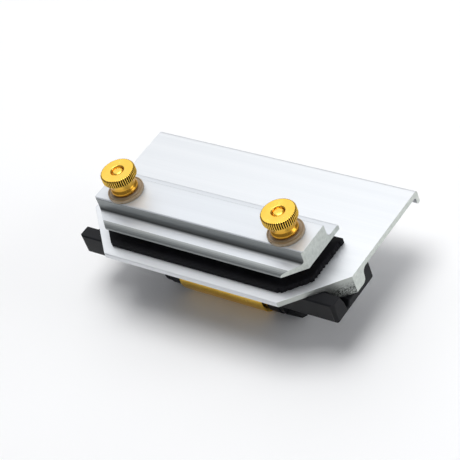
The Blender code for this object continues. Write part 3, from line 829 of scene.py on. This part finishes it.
def make_knobs(material):
    """Knurled nut: rounded collar, waist and a deep rim cut with straight teeth."""
    base = BAR_HIGH.z + WASHER_THICKNESS + 2 * TOUCH
    height = KNOB_HIGH.z - base
    bore, collar, neck, rim = STUD_RADIUS + 0.06, NUT_COLLAR, NUT_NECK, KNOB_RADIUS
    rim_bottom = height - NUT_RIM_HEIGHT
    crests = (1.0, 0.9, 0.35, 0.0, 0.35, 0.9)

    def knurled(chamfer):
        """A tooth's section, planed off at its crest by the chamfer."""

        def radius(angle):
            step = round(angle / math.tau * KNURL_TEETH * len(crests)) % len(crests)
            return min(rim - chamfer, rim - KNURL_DEPTH * (1 - crests[step]))

        return radius

    foot = [(bore, 0.8), (bore, 0.0), (collar - 0.5, 0.0)]
    foot += [(collar - 0.05, 0.9), (collar, 1.4), (collar - 0.15, 1.9)]
    waist = [(neck + 0.05, 2.7), (neck, 3.2), (neck, rim_bottom - 0.7), (neck + 0.9, rim_bottom - 0.25)]
    rows = rounded(foot + waist + [(rim - 0.75, rim_bottom)], 0.6, 5)
    rows += [(knurled(0.5), rim_bottom + 0.03), (knurled(0.0), rim_bottom + 0.45)]
    rows += [(knurled(0.0), rim_bottom + NUT_RIM_HEIGHT * t) for t in (0.3, 0.5, 0.7)]
    rows += [(knurled(0.0), height - 0.4), (knurled(0.36), height - 0.08)]
    mouth = [(bore + 0.35, height), (bore, height - 0.35), (bore, height - 1.4)]
    rows += rounded([(rim - 0.46, height - 0.03), (rim - 0.6, height)] + mouth, 0.12, 4)
    columns = KNURL_TEETH * len(crests)
    builder = revolve(rows, columns, closed=True)
    stud_pair("knurled_nut", builder, material, base, 32, ("nut_left", "nut_right"), "knob")


# ---------------------------------------------------------------- roller and eccentric


def make_roller(material):
    """Hollow brass roller, its edges rounded."""
    half, bore = ROLLER_HALF, ROLLER_BORE
    outside = [(ROLLER_RADIUS, -half), (ROLLER_RADIUS, half)]
    loop = [(bore, 0), (bore, -half + 0.01)] + outside + [(bore, half - 0.01), (bore, 0)]
    builder = revolve(rounded(loop, 0.55, 5)[:-1], 128, along_x=True, closed=True)
    roller = new_object("brass_roller", builder, [material], (0, ROLLER_Y, ROLLER_Z))
    smooth(roller, 50)
    place_piece(roller, "roller", "roller")


def make_bushes(material):
    """Flanged sleeves pressed into the roller's ends."""
    for name, side in (("left", -1), ("right", 1)):
        face = ROLLER_HALF + TOUCH
        inner, outer = AXLE_RADIUS + 0.05, ROLLER_BORE - 0.05
        sleeve = [(inner, face - 4), (inner, face - 9), (outer, face - 9), (outer, face)]
        flange = [(BUSH_FLANGE, face), (BUSH_FLANGE, face + 1.0), (inner, face + 1.0), (inner, face - 4)]
        rows = [(r, side * h) for r, h in rounded(sleeve + flange, 0.2, 3)[:-1]]
        builder = revolve(rows, 64, along_x=True, closed=True)
        bush = new_object("flanged_bush_" + name, builder, [material], (0, ROLLER_Y, ROLLER_Z))
        smooth(bush, 50)
        place_piece(bush, "roller", "roller_bush_" + name)


def cam_face(side):
    """Outer face of a cam's flange; the left one leaves room for the spring washer."""
    spring = CAM_SPRING_SPACE if side < 0 else 0
    return side * (EAR_OUTER + CAM_GAP + spring + CAM_FLANGE_THICKNESS)


def thumb_tab(dial_face):
    """Tapered tab that stands out from the dial's edge."""
    builder = bmesh.new()
    along = Vector((0, math.cos(TAB_ANGLE), math.sin(TAB_ANGLE)))
    across = Vector((0, -along.z, along.y))
    rings = []
    for x, inner, outer, half_width in ((dial_face - 1, 3.4, 6.0, 2.6), (TAB_END, 5.5, 6.1, 1.7)):
        corners = ((inner, -half_width), (outer, -half_width), (outer, half_width), (inner, half_width))
        rings.append([builder.verts.new(Vector((x, 0, 0)) + along * r + across * w) for r, w in corners])
    builder.faces.new(rings[0])
    builder.faces.new(rings[1])
    join_rings(builder, rings)
    return builder


def make_cams(material):
    """Round journals in the carrier's ears, bored off their centre for the roller's axle."""
    for name, node_name, side in (("eccentric_left", "cam_left", -1), ("eccentric_dial", "cam_dial", 1)):
        face = cam_face(side)
        start = face - side * CAM_FLANGE_THICKNESS
        inner = side * (EAR_INNER + 0.05)
        rows = [(0, inner), (CAM_JOURNAL, inner), (CAM_JOURNAL, start)]
        rows += [(CAM_FLANGE, start), (CAM_FLANGE, face), (0, face)]
        cam = new_object(name, revolve(rows, 72, along_x=True), [material], (0, ROLLER_Y, CAM_Z))
        if side > 0:
            combine(cam, new_object("tab", thumb_tab(face), [], (0, ROLLER_Y, CAM_Z)), "UNION")
        drill(cam, AXLE_RADIUS + 0.06, (side * 30, ROLLER_Y, ROLLER_Z), 24, along_x=True, sides=40)
        soften(cam, 0.25, 3, 35)
        place_piece(cam, "cam", node_name)


def make_spring_washer(material):
    """Wavy washer: three waves round a thin ring."""
    inner, outer, thick, wave = CAM_JOURNAL + 0.2, CAM_FLANGE - 0.2, 0.3, 0.3
    middle = -(EAR_OUTER + CAM_GAP + CAM_SPRING_SPACE / 2)
    builder = bmesh.new()
    rings = []
    columns = 72
    for radius, side in ((inner, -1), (outer, -1), (outer, 1), (inner, 1)):
        ring = []
        for i in range(columns):
            angle = math.tau * i / columns
            x = middle + side * thick / 2 + wave * math.sin(3 * angle)
            ring.append(builder.verts.new((x, radius * math.cos(angle), radius * math.sin(angle))))
        rings.append(ring)
    join_rings(builder, rings, closed=True)
    washer = new_object("wave_washer", builder, [material], (0, ROLLER_Y, CAM_Z))
    smooth(washer, 40)
    place_piece(washer, "cam", "cam_spring_washer")


def make_axle(material):
    """Pin with a groove near each end for its clip."""
    low, high = cad_size("roller_axle")
    seats = [cad_size("axle_clip_" + name) for name in ("left", "right")]
    rows = [(0, low.x), (AXLE_RADIUS, low.x)]
    for clip_low, clip_high in seats:
        start, end = clip_low.x - 0.05, clip_high.x + 0.05
        rows += [(AXLE_RADIUS, start), (1.6, start), (1.6, end), (AXLE_RADIUS, end)]
    rows += [(AXLE_RADIUS, high.x), (0, high.x)]
    axle = new_object("axle_pin", revolve(rows, 48, along_x=True), [material], (0, ROLLER_Y, ROLLER_Z))
    soften(axle, 0.1, 2, 40)
    place_piece(axle, "cam", "roller_axle")
    for name, (clip_low, clip_high) in zip(("left", "right"), seats):
        clip = new_object("retaining_clip_" + name, bar_along_x(clip_outline(), clip_low.x, clip_high.x),
                          [material], (0, ROLLER_Y, ROLLER_Z))
        soften(clip, 0.08, 2, 35)
        place_piece(clip, "cam", "axle_clip_" + name)


def clip_outline():
    """E-clip: an open ring whose three inner lugs grip the groove."""
    mouth, steps = 35, 48
    outside, inside, lug_radius, half_lug, lugs = 3.6, 2.5, 1.65, 16, (-125, 0, 125)
    outer = arc((0, 0), outside, 180 - mouth, mouth - 180, steps)
    inner = []
    for i in range(steps + 1):
        degrees = (mouth - 180) + (360 - 2 * mouth) * i / steps
        nearest = min(abs((degrees - lug + 180) % 360 - 180) for lug in lugs)
        radius = lug_radius if nearest < half_lug else inside
        inner.append((radius * math.cos(math.radians(degrees)), radius * math.sin(math.radians(degrees))))
    return outer + inner


def make_everything():
    aluminium, cut_metal, milled_metal = satin_aluminium(), cut_aluminium(), milled_aluminium()
    bar_metal = satin_aluminium("bar_aluminium", (0.64, 0.665, 0.695), (0.68, 0.705, 0.735), metallic=0.62)
    # Painted shade: a darkened copy of the aluminium, standing in for the dark reflections and shade on the
    # bar's front walls and back edges.
    painted_shade_metal = satin_aluminium("painted_shade_aluminium", (0.23, 0.245, 0.245), (0.38, 0.40, 0.40),
                                   groove_floor=BAR_LOW.z + GROOVE_FLOOR)
    nut_brass = brass("knurled_brass", "Z", KNOB_RADIUS - KNURL_DEPTH - 0.1)
    stud_brass, roller_brass = brass("stud_brass", "Z"), brass("roller_brass", "X")
    steel, black_rubber, plastic, nylon = bright_steel(), rubber(), moulded_plastic(), clear_nylon()
    make_bed(aluminium, cut_metal, milled_metal)
    make_pad(black_rubber)
    make_studs(stud_brass)
    make_carrier(plastic)
    make_screws(steel)
    make_clamp_bar(bar_metal, cut_metal, painted_shade_metal)
    make_washers(nylon)
    make_knobs(nut_brass)
    make_roller(roller_brass)
    make_bushes(nylon)
    make_cams(plastic)
    make_spring_washer(steel)
    make_axle(steel)


make_camera()
make_stage()
make_everything()
